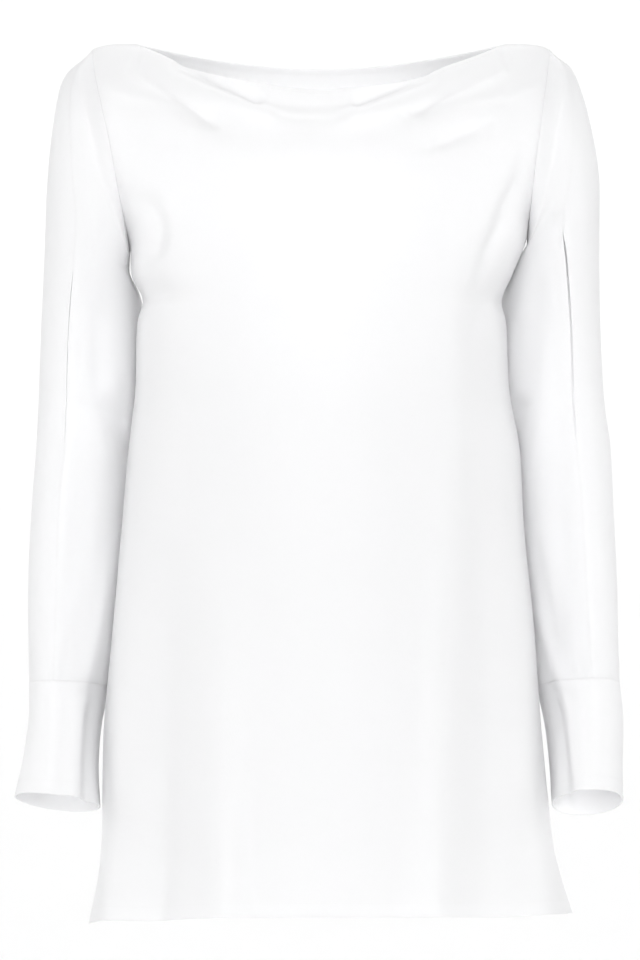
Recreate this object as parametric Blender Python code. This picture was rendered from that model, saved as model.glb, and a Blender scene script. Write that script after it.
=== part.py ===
"""A white satin tunic in the hollow form that it has when it is worn.

It has a wide boat neck with a soft cowl, long sleeves of two pieces whose overarm seam is left
open as a slit, deep cuffs, and an A-line body with short vents at the sides.

Metres, +Z up. The origin lies midway between the tops of the shoulders, where the wearer holds the
garment up. The front faces -Y, so the wearer's right is -X and the wearer's left is +X. Sizes and
tables are in millimetres, and MM turns them into metres as a mesh is made.
"""

import math
from collections import namedtuple

import bmesh
import bpy
from mathutils import Vector

MM = 0.001

# The cloth and its seams
WALL = 1.2
SEAM_GAP = 0.3

# The top edge: shoulder seams with the boat neck between them
SHOULDER_TIPS = {"right": 196.0, "left": 198.0}
SHOULDER_DROP = 5.0
SHOULDER_ROUNDING = 4.0
NECK_DROP = {"front": 43.0, "back": 18.0}
NECK_DEPTH = {"front": 60.0, "back": 52.0}
NECK_HEIGHT_CURVE = 1.75
NECK_DEPTH_CURVE = 2.2

# How the pieces are divided: columns across a panel, those of them that lie on one shoulder seam,
# and steps of the mesh for each row of a table
PANEL_COLUMNS = 32
SHOULDER_COLUMNS = 4
STEPS_PER_ROW = 2
TOP_EDGE_TURN = math.radians(55.0)
PANEL_SQUARENESS = 2.25

# The side vents, and the slits in the overarm seams
VENT_TOP = -700.0
VENT_LENGTH = 55.0
VENT_GAP = 5.0
SLIT_BOTTOM = -348.0
SLIT_TAPER = 22.0
Slit = namedtuple("Slit", "top gap")
SLITS = {"right": Slit(top=-192.0, gap=0.8), "left": Slit(top=-158.0, gap=1.8)}

# One ring round the body a row, from under the neck to the hem. It gives the height of the ring at
# the right edge, the left edge and the middle of the front and back, how far it reaches right and
# left, how deep it is at the front and back, and how deep the armhole's edge lies in front and
# behind. The armhole closes at the underarm row, where that depth comes to 0.
BodyRow = namedtuple(
    "BodyRow", "right_z left_z front_z back_z right left front back arm_front arm_back")
BODY_ROWS = (
    #       right_z left_z front_z back_z right left front back arm_front arm_back
    BodyRow(-27, -26, -53, -35, 193, 195, 70, 64, 22, 24),
    BodyRow(-54, -52, -65, -55, 187, 191, 79, 75, 40, 42),
    BodyRow(-85, -82, -82, -80, 180, 187, 89, 85, 50, 52),
    BodyRow(-118, -113, -104, -107, 174, 183, 101, 93, 48, 50),
    BodyRow(-150, -143, -136, -138, 168, 180, 113, 98, 32, 34),
    BodyRow(-177, -168, -172, -172, 163, 178, 121, 99, 0, 0),
    BodyRow(-200, -198, -199, -199, 162, 166, 124, 98, 0, 0),
    BodyRow(-221, -221, -221, -221, 152.5, 156.5, 125, 96, 0, 0),
    BodyRow(-243, -243, -243, -243, 157.5, 160.5, 124, 95, 0, 0),
    BodyRow(-298, -298, -298, -298, 159, 163, 122, 95, 0, 0),
    BodyRow(-350, -350, -350, -350, 165, 172, 121, 97, 0, 0),
    BodyRow(-420, -420, -420, -420, 171, 176, 122, 101, 0, 0),
    BodyRow(-500, -500, -500, -500, 178, 184, 124, 106, 0, 0),
    BodyRow(-590, -590, -588, -590, 186, 190.5, 128, 110, 0, 0),
    BodyRow(-680, -680, -673, -680, 187.5, 199.5, 132, 113, 0, 0),
    BodyRow(-717, -714, -707, -716, 191, 206.5, 134, 115, 0, 0),
    BodyRow(-757, -747, -742, -754, 199, 217, 137, 117, 0, 0),
)
UNDERARM_ROW = 6

# Folds pressed into the panels, each along a curve from its start, pulled towards its bend, to its
# end, in the plane seen from the front. A positive depth is a trough and a negative one a ridge.
PanelFold = namedtuple(
    "PanelFold", "start_x start_z bend_x bend_z end_x end_z width start_depth end_depth")
PANEL_FOLDS = {
    "front": (
        # The cowl: a sharp trough from each shoulder, soft under the middle of the neck
        PanelFold(-128, -14, -88, -34, -46, -52, 7, 4.0, 6.0),
        PanelFold(100, -25, 62, -40, 24, -54, 7, 4.0, 6.0),
        PanelFold(-50, -52, -12, -60, 28, -54, 10, 5.0, 5.0),
        PanelFold(-158, -24, -125, -46, -84, -77, 9, 3.0, 4.5),
        PanelFold(158, -24, 118, -38, 74, -66, 9, 3.0, 4.5),
        PanelFold(140, -75, 118, -82, 94, -93, 8, 2.5, 2.5),
        # Rolls of cloth between the troughs
        PanelFold(-112, -36, -70, -58, -34, -68, 8, -1.5, -3.0),
        PanelFold(108, -46, 66, -60, 18, -69, 8, -1.5, -3.0),
        # Drag lines at the underarms
        PanelFold(-160, -134, -122, -152, -146, -190, 8, 2.5, 4.5),
        PanelFold(182, -84, 170, -130, 140, -192, 9, 3.0, 4.0),
        # The long drapes, which deepen towards the hem
        PanelFold(-128, -270, -140, -540, -142, -800, 26, 2.0, 11.0),
        PanelFold(138, -190, 154, -500, 142, -800, 24, 3.5, 10.0),
        PanelFold(-84, -420, -84, -600, -78, -800, 22, -1.0, -9.0),
        PanelFold(108, -220, 108, -480, 96, -800, 16, -2.0, -5.5),
        PanelFold(-168, -420, -172, -600, -178, -800, 13, -1.0, -4.5),
        PanelFold(178, -440, 182, -600, 190, -800, 13, -0.5, -3.0),
        # The hem's middle, which curls in
        PanelFold(-48, -774, 4, -784, 56, -774, 28, 6.0, 6.0),
    ),
    "back": (
        PanelFold(-86, -40, 0, -62, 88, -40, 14, 2.5, 2.5),
        PanelFold(-150, -150, -118, -170, -96, -215, 11, 3.0, 2.0),
        PanelFold(158, -140, 126, -165, 100, -220, 11, 3.0, 2.0),
        PanelFold(-104, -240, -100, -500, -96, -800, 22, 2.0, 10.0),
        PanelFold(-30, -300, -28, -540, -26, -800, 20, 1.0, 8.0),
        PanelFold(58, -260, 60, -520, 64, -800, 21, 1.5, 9.0),
        PanelFold(140, -300, 142, -520, 144, -800, 18, 1.0, 8.0),
        PanelFold(-66, -400, -64, -600, -62, -800, 17, -1.0, -5.5),
        PanelFold(104, -380, 104, -600, 104, -800, 17, -1.0, -5.5),
    ),
}
PANEL_FOLD_FADE_COLUMNS = 2.3
SHOULDER_FOLD_FADE_ROWS = 3
FOLD_SEGMENTS = 8

# One ring round a sleeve a row, from just outside the armhole to the cuff. It gives the points
# nearest to the body and farthest from it, the depth to the front and back of its middle, where
# that middle lies, how far the front is lifted, how far the side by the body is tucked in and swung
# back behind it, and the turns of the two seams in degrees: 0 points away from the body, 90 to the
# front and 180 to the body.
SleeveRow = namedtuple("SleeveRow", "inner_x inner_z outer_x outer_z front back middle_y lift"
                       " tuck swing overarm underarm")
TUCK_SHARPNESS = 3.0
ARMHOLE_TURNS = (0.0, 180.0)
SLEEVE_ROWS = {
    "right": (
        SleeveRow(163.5, -181, 212.5, -20, 56, 58, 0, 0, 0, 0, 24, 182),
        SleeveRow(163.8, -185, 223.5, -37, 56, 57, 0, 0, 0, 2, 48, 184),
        SleeveRow(164.2, -190, 231, -80, 54, 56, 0, 0, 0, 6, 66, 187),
        SleeveRow(164.6, -199, 235, -125, 52, 54, 1, 0, 1, 14, 76, 191),
        SleeveRow(165.2, -218, 237, -178, 50, 46, 2, 0, 10, 36, 74, 196),
        SleeveRow(164.8, -250, 240, -242, 49, 42, 5, 0, 14, 50, 70, 202),
        SleeveRow(164.0, -306, 242.5, -306, 48, 41, 7, 0, 12, 52, 69, 207),
        SleeveRow(169.0, -348, 244.5, -348, 47, 41, 6, 1, 12, 52, 71, 210),
        SleeveRow(180.0, -396, 248, -394, 45, 40, 4, 2, 15, 52, 73, 212),
        SleeveRow(181.5, -462, 251, -458, 43, 38, 0, 4, 14, 54, 74, 212),
        SleeveRow(187.5, -522, 250.5, -518, 40, 36, -8, 6, 14, 54, 75, 212),
        SleeveRow(192.0, -556, 249.5, -551, 38, 35, -14, 7, 10, 50, 75, 212),
    ),
    "left": (
        SleeveRow(178.2, -172, 214.5, -19, 56, 58, 0, 0, 0, 0, 26, 182),
        SleeveRow(177.8, -176, 226, -44, 56, 57, 0, 0, 0, 2, 52, 184),
        SleeveRow(177.2, -181, 235, -80, 54, 56, 0, 0, 2, 12, 75, 187),
        SleeveRow(175.8, -191, 240.5, -118, 52, 54, 1, 0, 6, 26, 90, 191),
        SleeveRow(173.4, -212, 240.5, -172, 50, 46, 2, 0, 15, 40, 82, 196),
        SleeveRow(171.0, -250, 241.5, -242, 49, 42, 5, 0, 19, 56, 75, 202),
        SleeveRow(171.0, -306, 245, -306, 48, 41, 7, 0, 17, 56, 75.5, 207),
        SleeveRow(174.0, -348, 250.5, -348, 47, 41, 6, 1, 14, 54, 78, 210),
        SleeveRow(182.0, -396, 252.5, -394, 45, 40, 4, 2, 15, 54, 78, 212),
        SleeveRow(185.0, -462, 255.5, -458, 43, 38, 0, 5, 11, 54, 78, 212),
        SleeveRow(190.5, -522, 256.5, -518, 40, 36, -8, 8, 8, 56, 78, 212),
        SleeveRow(193.5, -556, 257.5, -551, 38, 35, -14, 9, 6, 46, 78, 212),
    ),
}
# A cuff carries on from the last ring of its sleeve.
CUFF_ROWS = {
    "right": (
        SleeveRow(192.5, -586, 250, -582, 37, 34, -21, 8, 4, 40, 75, 212),
        SleeveRow(190.5, -621, 254.5, -616, 37, 34, -31, 9, 0, 32, 75, 212),
        SleeveRow(188.5, -656, 261, -646, 38, 38, -40, 9, 0, 26, 75, 212),
    ),
    "left": (
        SleeveRow(196.0, -586, 260, -582, 37, 34, -21, 10, 2, 38, 78, 212),
        SleeveRow(197.5, -621, 259, -617, 37, 34, -31, 12, 0, 32, 78, 212),
        SleeveRow(199.0, -653, 259, -649, 38, 38, -40, 13, 0, 28, 78, 212),
    ),
}

# Folds round the sleeves and cuffs, each from a turn and a height to another
SleeveFold = namedtuple(
    "SleeveFold", "start_turn start_z end_turn end_z width start_depth end_depth")
SLEEVE_FOLDS = {
    "right": (
        SleeveFold(104, -215, 110, -300, 10, 1.5, 4.0),
        SleeveFold(110, -300, 164, -372, 10, 4.0, 4.5),
        SleeveFold(252, -330, 190, -392, 11, 3.0, 4.0),
        SleeveFold(330, -120, 300, -250, 12, 2.5, 2.0),
        SleeveFold(132, -440, 119, -556, 9, -1.0, -3.5),
        SleeveFold(119, -556, 115, -660, 8, -3.5, -3.0),
        SleeveFold(300, -470, 280, -560, 10, 2.0, 3.0),
        SleeveFold(250, -556, 248, -660, 9, -2.5, -2.0),
    ),
    "left": (
        SleeveFold(112, -200, 128, -300, 10, 1.5, 4.0),
        SleeveFold(128, -300, 170, -376, 10, 4.0, 4.0),
        SleeveFold(256, -326, 192, -388, 11, 3.0, 4.0),
        SleeveFold(326, -110, 304, -240, 12, 2.5, 2.0),
        SleeveFold(146, -478, 118, -556, 9, -1.0, -3.5),
        SleeveFold(118, -556, 106, -660, 8, -3.5, -3.0),
        SleeveFold(296, -460, 284, -556, 10, 2.0, 3.0),
        SleeveFold(252, -556, 250, -660, 9, -2.5, -2.0),
    ),
}
ARC_PER_DEGREE = 0.73
SLEEVE_FOLD_FADE_ROWS = 6

SATIN_COLOUR = (0.93, 0.93, 0.94, 1.0)
SATIN_ROUGHNESS = 0.42
SHARP_ANGLE = math.radians(50.0)

SIDE_SIGN = {"right": -1.0, "left": 1.0}
PANEL_SIGN = {"front": -1.0, "back": 1.0}

# Pieces share a normal at a seam where the cosine of the turn between them is over this.
SHARED_TURN = -0.3

# A piece of cloth: rows of points, the place of each point on the plane that its folds are drawn
# on, whether its rows close into rings, and whether they run the other way round the wearer
Cloth = namedtuple("Cloth", "rows places closed turned")


# Curves

def smooth_step(value):
    value = min(max(value, 0.0), 1.0)
    return value * value * (3.0 - 2.0 * value)


def curve_between(before, start, end, after, t):
    """The point at t on the Catmull-Rom curve from start to end."""
    return 0.5 * (2.0 * start + (end - before) * t
                  + (2.0 * before - 5.0 * start + 4.0 * end - after) * t * t
                  + (3.0 * start - before - 3.0 * end + after) * t * t * t)


def run_through(stations, before=None):
    """Points at even steps on the curve through the stations, which comes from a point before."""
    before = 2.0 * stations[0] - stations[1] if before is None else before
    padded = [before, *stations, 2.0 * stations[-1] - stations[-2]]
    points = []
    for k in range(len(stations) - 1):
        for step in range(STEPS_PER_ROW):
            points.append(curve_between(*padded[k:k + 4], step / STEPS_PER_ROW))
    return points + [stations[-1]]


# The body

def top_edge(panel, u):
    """A point of the shoulder seams and neck edge, u going from -1 at the right tip to 1."""
    tip = SHOULDER_TIPS["left" if u > 0.0 else "right"]
    neck_u = 1.0 - 2.0 * SHOULDER_COLUMNS / PANEL_COLUMNS
    reach = tip * math.sin(TOP_EDGE_TURN * abs(u)) / math.sin(TOP_EDGE_TURN)
    neck_reach = tip * math.sin(TOP_EDGE_TURN * neck_u) / math.sin(TOP_EDGE_TURN)
    x = math.copysign(reach, u)
    if abs(u) >= neck_u:
        share = (reach - neck_reach) / (tip - neck_reach)
        return Vector((x, 0.0, -SHOULDER_DROP * max(share, 0.0) ** SHOULDER_ROUNDING))
    drop = NECK_DROP[panel] * (1.0 - (reach / neck_reach) ** NECK_HEIGHT_CURVE)
    depth = NECK_DEPTH[panel] * (1.0 - (reach / neck_reach) ** NECK_DEPTH_CURVE)
    return Vector((x, PANEL_SIGN[panel] * depth, -drop))


def ring_point(panel, row, u):
    """A point of one panel on a ring round the body."""
    depth, arm_depth, middle_z = (
        (row.front, row.arm_front, row.front_z) if panel == "front"
        else (row.back, row.arm_back, row.back_z))
    reach, edge_z = (row.left, row.left_z) if u > 0.0 else (row.right, row.right_z)
    power = 2.0 / PANEL_SQUARENESS
    edge_turn = math.acos((arm_depth / depth) ** (1.0 / power))
    turn = edge_turn * abs(u)
    x = reach * (math.sin(turn) / math.sin(edge_turn)) ** power
    y = depth * max(math.cos(turn), 0.0) ** power
    z = middle_z + (edge_z - middle_z) * abs(u) ** NECK_HEIGHT_CURVE
    return Vector((math.copysign(x, u), PANEL_SIGN[panel] * y, z))


def panel_cloth(panel):
    """A panel's rows from its top edge to its hem, each from the right edge to the left."""
    other = "back" if panel == "front" else "front"
    neck_u = 1.0 - 2.0 * SHOULDER_COLUMNS / PANEL_COLUMNS
    columns = []
    for k in range(PANEL_COLUMNS + 1):
        u = 2.0 * k / PANEL_COLUMNS - 1.0
        stations = [top_edge(panel, u)] + [ring_point(panel, row, u) for row in BODY_ROWS]
        over_shoulder = ring_point(other, BODY_ROWS[0], u) if abs(u) >= neck_u else None
        if abs(u) == 1.0:
            armhole = run_through(stations[:UNDERARM_ROW + 1], over_shoulder)
            columns.append(armhole + run_through(stations[UNDERARM_ROW:])[1:])
        else:
            columns.append(run_through(stations, over_shoulder))
    rows = [list(row) for row in zip(*columns)]
    places = [[Vector((point.x, point.z)) for point in row] for row in rows]
    return Cloth(rows, places, closed=False, turned=panel == "back")


# The sleeves and cuffs

def sleeve_point(row, side, turn):
    """A point of a ring round a sleeve, at a turn in degrees."""
    out = math.cos(math.radians(turn))
    forward = math.sin(math.radians(turn))
    x = 0.5 * (row.outer_x + row.inner_x) + 0.5 * (row.outer_x - row.inner_x) * out
    z = 0.5 * (row.outer_z + row.inner_z) + 0.5 * (row.outer_z - row.inner_z) * out
    depth = row.front if forward > 0.0 else row.back
    tucked = (0.5 - 0.5 * out) ** TUCK_SHARPNESS
    return Vector((SIDE_SIGN[side] * (x - row.tuck * tucked),
                   row.middle_y - depth * forward + row.swing * tucked, z + row.lift * forward))


def seam_to_seam(overarm, underarm, half):
    """The turns of a half sleeve's points, from one of its two seams to the other."""
    start, end = (overarm, underarm) if half == "front" else (underarm, overarm + 360.0)
    columns = STEPS_PER_ROW * UNDERARM_ROW
    return [start + (end - start) * k / columns for k in range(columns + 1)]


def sleeve_cloth(side, half, armhole):
    """A half sleeve's rows from the armhole to the cuff, each from one seam to the other."""
    turns = [seam_to_seam(*ARMHOLE_TURNS, half)]
    stations = [armhole]
    for row in SLEEVE_ROWS[side]:
        turns.append(seam_to_seam(row.overarm, row.underarm, half))
        stations.append([sleeve_point(row, side, turn) for turn in turns[-1]])
    rows = list(zip(*(run_through(column) for column in zip(*stations))))
    row_turns = list(zip(*(run_through(column) for column in zip(*turns))))
    places = [[Vector((turn * ARC_PER_DEGREE, point.z)) for point, turn in zip(*pair)]
              for pair in zip(rows, row_turns)]
    return Cloth([list(row) for row in rows], places, closed=False, turned=side == "left")


def cuff_cloth(side):
    """A cuff's rings, from its seam to its hem."""
    stations = []
    turns = []
    for row in (SLEEVE_ROWS[side][-1], *CUFF_ROWS[side]):
        front = seam_to_seam(row.overarm, row.underarm, "front")
        turns.append(front + seam_to_seam(row.overarm, row.underarm, "back")[1:-1])
        stations.append([sleeve_point(row, side, turn) for turn in turns[-1]])
    rows = list(zip(*(run_through(column) for column in zip(*stations))))
    places = [[Vector((turn * ARC_PER_DEGREE, point.z)) for point, turn in zip(row, turns[0])]
              for row in rows]
    return Cloth([list(row) for row in rows], places, closed=True, turned=side == "left")


# Folds

def panel_lines(folds):
    """Each panel fold's line as corners on its bent curve, with its width and depths."""
    lines = []
    for fold in folds:
        start = Vector((fold.start_x, fold.start_z))
        bend = Vector((fold.bend_x, fold.bend_z))
        end = Vector((fold.end_x, fold.end_z))
        corners = []
        for k in range(FOLD_SEGMENTS + 1):
            t = k / FOLD_SEGMENTS
            corners.append((1.0 - t) ** 2 * start + 2.0 * t * (1.0 - t) * bend + t * t * end)
        lines.append((corners, fold))
    return lines


def sleeve_lines(folds):
    """Each sleeve fold's line on the unrolled sleeve, drawn again one turn before and after."""
    lines = []
    for fold in folds:
        for shift in (-360.0, 0.0, 360.0):
            start = Vector(((fold.start_turn + shift) * ARC_PER_DEGREE, fold.start_z))
            end = Vector(((fold.end_turn + shift) * ARC_PER_DEGREE, fold.end_z))
            lines.append(([start, end], fold))
    return lines


def press_at(place, corners, fold):
    """How deep a fold presses at a place, fading with the distance from its line."""
    nearest = None
    for k in range(len(corners) - 1):
        run = corners[k + 1] - corners[k]
        share = min(max((place - corners[k]).dot(run) / run.length_squared, 0.0), 1.0)
        distance = (place - corners[k] - run * share).length
        if nearest is None or distance < nearest[0]:
            nearest = (distance, (k + share) / (len(corners) - 1))
    distance, along = nearest
    depth = fold.start_depth + (fold.end_depth - fold.start_depth) * along
    return depth * math.exp(-(distance / fold.width) ** 2)


def press_folds(cloth, normals, lines, fade):
    """Press folds into a cloth. The fade gives their share at a row and a column."""
    for r, row in enumerate(cloth.rows):
        for c, point in enumerate(row):
            press = sum(press_at(cloth.places[r][c], *line) for line in lines)
            row[c] = point - normals[r][c] * (press * fade(r, c))


def panel_fade(row, column):
    """Folds end at the side seams, armholes and shoulder seams."""
    edge_columns = min(column, PANEL_COLUMNS - column)
    fade = smooth_step(edge_columns / PANEL_FOLD_FADE_COLUMNS)
    if edge_columns <= SHOULDER_COLUMNS:
        fade *= smooth_step(row / SHOULDER_FOLD_FADE_ROWS)
    return fade


def sleeve_fade(row, _column):
    """Folds end at the armhole."""
    return smooth_step(row / SLEEVE_FOLD_FADE_ROWS)


def whole(_row, _column):
    return 1.0


# Walls

def point_key(point):
    return tuple(round(value, 3) for value in point)


def own_normals(cloth):
    """Outward normals at a piece's points, from its own faces alone."""
    columns = len(cloth.rows[0])
    sums = [[Vector() for _ in row] for row in cloth.rows]
    for r, (upper, lower) in enumerate(zip(cloth.rows, cloth.rows[1:])):
        for c in range(columns if cloth.closed else columns - 1):
            d = (c + 1) % columns
            normal = (lower[d] - upper[c]).cross(upper[d] - lower[c]).normalized()
            for corner_row, corner in ((r, c), (r + 1, c), (r + 1, d), (r, d)):
                sums[corner_row][corner] += -normal if cloth.turned else normal
    return [[normal.normalized() for normal in row] for row in sums]


def cloth_normals(cloths):
    """Outward normals, shared where pieces meet at a seam unless they fold back on each other."""
    own = {name: own_normals(cloth) for name, cloth in cloths.items()}
    meeting = {}
    for name, cloth in cloths.items():
        for row, row_normals in zip(cloth.rows, own[name]):
            for point, normal in zip(row, row_normals):
                meeting.setdefault(point_key(point), []).append(normal)
    shared = {}
    for name, cloth in cloths.items():
        shared[name] = [
            [sum((other for other in meeting[point_key(point)] if other.dot(normal) > SHARED_TURN),
                 Vector()).normalized() for point, normal in zip(*pair)]
            for pair in zip(cloth.rows, own[name])]
    return shared


def seam_gap(_point):
    return 0.5 * SEAM_GAP


def side_seam_gap(point):
    """Half the gap at a side seam, which opens into the vent above the hem."""
    return 0.5 * (SEAM_GAP + VENT_GAP * smooth_step((VENT_TOP - point.z) / VENT_LENGTH))


def overarm_gap(side):
    """Half the gap at an overarm seam, which opens into the slit."""
    slit = SLITS[side]

    def gap(point):
        opening = smooth_step((slit.top - point.z) / SLIT_TAPER)
        opening *= smooth_step((point.z - SLIT_BOTTOM) / SLIT_TAPER)
        return 0.5 * (SEAM_GAP + slit.gap * opening)

    return gap


def trim(cloth, start_gap=seam_gap, end_gap=seam_gap):
    """Draw a piece back from its four edges by half of each seam's gap."""
    rows = [list(row) for row in cloth.rows]
    last_row = len(rows) - 1
    last = len(rows[0]) - 1
    for c in range(last + 1):
        for edge, inside in ((0, 1), (last_row, last_row - 1)):
            point = cloth.rows[edge][c]
            rows[edge][c] = point + (cloth.rows[inside][c] - point).normalized() * seam_gap(point)
    if not cloth.closed:
        for r in range(last_row + 1):
            for edge, inside, gap in ((0, 1, start_gap), (last, last - 1, end_gap)):
                point = cloth.rows[r][edge]
                rows[r][edge] += (cloth.rows[r][inside] - point).normalized() * gap(point)
    return rows


def make_wall(name, cloth, rows, normals, tunic):
    """Build a piece of cloth as one closed wall between its outer points and its inner ones."""
    inner_rows = [[point - normal * WALL for point, normal in zip(*pair)]
                  for pair in zip(rows, normals)]
    shape = bmesh.new()
    outer = [[shape.verts.new(point * MM) for point in row] for row in rows]
    inner = [[shape.verts.new(point * MM) for point in row] for row in inner_rows]
    columns = len(rows[0])
    last_row = len(rows) - 1
    for c in range(columns if cloth.closed else columns - 1):
        d = (c + 1) % columns
        for r in range(last_row):
            shape.faces.new((outer[r][c], outer[r + 1][c], outer[r + 1][d], outer[r][d]))
            shape.faces.new((inner[r][c], inner[r][d], inner[r + 1][d], inner[r + 1][c]))
        for r in (0, last_row):
            shape.faces.new((outer[r][c], outer[r][d], inner[r][d], inner[r][c]))
    if not cloth.closed:
        for r in range(last_row):
            for c in (0, columns - 1):
                shape.faces.new((outer[r][c], outer[r + 1][c], inner[r + 1][c], inner[r][c]))
    bmesh.ops.recalc_face_normals(shape, faces=shape.faces)
    mesh = bpy.data.meshes.new(name)
    shape.to_mesh(mesh)
    shape.free()
    mesh.shade_smooth()
    mesh.set_sharp_from_angle(angle=SHARP_ANGLE)
    mesh.materials.append(satin(name))
    piece = bpy.data.objects.new(name, mesh)
    bpy.context.scene.collection.objects.link(piece)
    piece.parent = tunic


def satin(piece_name):
    """White satin, a material for each piece."""
    material = bpy.data.materials.new(f"satin_{piece_name}")
    material.use_nodes = True
    shader = material.node_tree.nodes["Principled BSDF"]
    shader.inputs["Base Color"].default_value = SATIN_COLOUR
    shader.inputs["Roughness"].default_value = SATIN_ROUGHNESS
    shader.inputs["Metallic"].default_value = 0.0
    return material


def make_tunic():
    for leftover in list(bpy.data.objects):
        bpy.data.objects.remove(leftover, do_unlink=True)
    tunic = bpy.data.objects.new("tunic", None)
    bpy.context.scene.collection.objects.link(tunic)

    cloths = {"front_panel": panel_cloth("front"), "back_panel": panel_cloth("back")}
    for side, edge in (("right", 0), ("left", -1)):
        front_edge = [row[edge] for row in cloths["front_panel"].rows]
        back_edge = [row[edge] for row in cloths["back_panel"].rows]
        armhole_points = STEPS_PER_ROW * UNDERARM_ROW + 1
        cloths[f"sleeve_front_{side}"] = sleeve_cloth(side, "front", front_edge[:armhole_points])
        cloths[f"sleeve_back_{side}"] = sleeve_cloth(
            side, "back", back_edge[:armhole_points][::-1])
        cloths[f"cuff_{side}"] = cuff_cloth(side)

    normals = cloth_normals(cloths)
    for panel in ("front", "back"):
        name = f"{panel}_panel"
        press_folds(cloths[name], normals[name], panel_lines(PANEL_FOLDS[panel]), panel_fade)
    for side in ("right", "left"):
        lines = sleeve_lines(SLEEVE_FOLDS[side])
        for half in ("front", "back"):
            name = f"sleeve_{half}_{side}"
            press_folds(cloths[name], normals[name], lines, sleeve_fade)
        press_folds(cloths[f"cuff_{side}"], normals[f"cuff_{side}"], lines, whole)

    normals = cloth_normals(cloths)
    edge_gaps = {"front_panel": (side_seam_gap, side_seam_gap),
                 "back_panel": (side_seam_gap, side_seam_gap)}
    for side in ("right", "left"):
        edge_gaps[f"sleeve_front_{side}"] = (overarm_gap(side), seam_gap)
        edge_gaps[f"sleeve_back_{side}"] = (seam_gap, overarm_gap(side))
        edge_gaps[f"cuff_{side}"] = (seam_gap, seam_gap)
    for name, cloth in cloths.items():
        make_wall(name, cloth, trim(cloth, *edge_gaps[name]), normals[name], tunic)


make_tunic()
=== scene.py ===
"""The white satin tunic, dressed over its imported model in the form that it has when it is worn.

Each piece of cloth is a thin shell on the form of its solid: the same rings round the body and the
sleeves and the same main folds, with finer creases, rounded hems and sewing added. Metres, +Z up,
and the front faces -Y, so the wearer's right is -X. The tables are in millimetres, and MM turns
them into metres as a mesh is made.
"""

import math
from collections import namedtuple
from functools import cache

import bpy
import numpy as np
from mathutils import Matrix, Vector


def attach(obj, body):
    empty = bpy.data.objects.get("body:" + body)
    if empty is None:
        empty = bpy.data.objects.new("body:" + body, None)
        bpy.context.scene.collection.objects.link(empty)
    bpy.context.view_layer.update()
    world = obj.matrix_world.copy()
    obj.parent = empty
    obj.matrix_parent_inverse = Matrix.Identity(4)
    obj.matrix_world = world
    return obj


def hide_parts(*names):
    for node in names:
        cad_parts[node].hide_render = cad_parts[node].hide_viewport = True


bl_info = {
    "name": "Satin Tunic",
    "version": (1, 0, 0),
    "blender": (4, 5, 0),
    "location": "3D View > Sidebar > Tunic",
    "description": "Makes the cloth, sewing and studio of a white satin tunic",
    "category": "Object",
}

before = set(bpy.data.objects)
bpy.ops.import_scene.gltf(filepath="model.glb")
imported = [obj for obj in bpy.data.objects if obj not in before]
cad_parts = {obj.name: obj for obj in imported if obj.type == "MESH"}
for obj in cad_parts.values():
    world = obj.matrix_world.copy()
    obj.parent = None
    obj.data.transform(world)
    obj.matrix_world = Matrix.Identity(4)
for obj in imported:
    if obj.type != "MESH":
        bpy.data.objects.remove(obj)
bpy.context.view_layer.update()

MM = 0.001

# The top edge: shoulder seams with the boat neck between them
SHOULDER_TIPS = {"right": 196.0, "left": 198.0}
SHOULDER_DROP = 5.0
SHOULDER_ROUNDING = 4.0
NECK_DROP = {"front": 43.0, "back": 18.0}
NECK_DEPTH = {"front": 60.0, "back": 52.0}
NECK_HEIGHT_CURVE = 1.75
NECK_DEPTH_CURVE = 2.2
TOP_EDGE_TURN = math.radians(55.0)
PANEL_SQUARENESS = 2.25

# The mesh: columns across a panel, the share of a panel's half width that is neck, the width of the
# blend beside the neck's corners and armholes as a share of it, and steps for each row of a table
PANEL_COLUMNS = 192
NECK_SHARE = 0.75
EDGE_BLEND = 1.0 / 16.0
STEPS_PER_ROW = 12

# The side vents, and the slits in the overarm seams
VENT_TOP = -700.0
VENT_LENGTH = 55.0
SLIT_BOTTOM = -348.0
SLIT_TAPER = 22.0
Slit = namedtuple("Slit", "top gap")
SLITS = {"right": Slit(top=-192.0, gap=0.8), "left": Slit(top=-158.0, gap=1.8)}

# One ring round the body a row, from under the neck to the hem. It gives the height of the ring at
# the right edge, the left edge and the middle of the front and back, how far it reaches right and
# left, how deep it is at the front and back, and how deep the armhole's edge lies in front and
# behind. The armhole closes at the underarm row, where that depth comes to 0.
BodyRow = namedtuple(
    "BodyRow", "right_z left_z front_z back_z right left front back arm_front arm_back")
BODY_ROWS = [BodyRow(*row) for row in (
    (-27, -26, -53, -35, 193, 195, 70, 64, 22, 24),
    (-54, -52, -65, -55, 187, 191, 79, 75, 40, 42),
    (-85, -82, -82, -80, 180, 187, 89, 85, 50, 52),
    (-118, -113, -104, -107, 174, 183, 101, 93, 48, 50),
    (-150, -143, -136, -138, 168, 180, 113, 98, 32, 34),
    (-177, -168, -172, -172, 163, 178, 121, 99, 0, 0),
    (-200, -198, -199, -199, 162, 166, 124, 98, 0, 0),
    (-221, -221, -221, -221, 152.5, 156.5, 125, 96, 0, 0),
    (-243, -243, -243, -243, 157.5, 160.5, 124, 95, 0, 0),
    (-298, -298, -298, -298, 159, 163, 122, 95, 0, 0),
    (-350, -350, -350, -350, 165, 172, 121, 97, 0, 0),
    (-420, -420, -420, -420, 171, 176, 122, 101, 0, 0),
    (-500, -500, -500, -500, 178, 184, 124, 106, 0, 0),
    (-590, -590, -588, -590, 186, 190.5, 128, 110, 0, 0),
    (-680, -680, -673, -680, 187.5, 199.5, 132, 113, 0, 0),
    (-717, -714, -707, -716, 191, 206.5, 134, 115, 0, 0),
    (-757, -747, -742, -754, 199, 217, 137, 117, 0, 0),
)]
UNDERARM_ROW = 6

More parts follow.
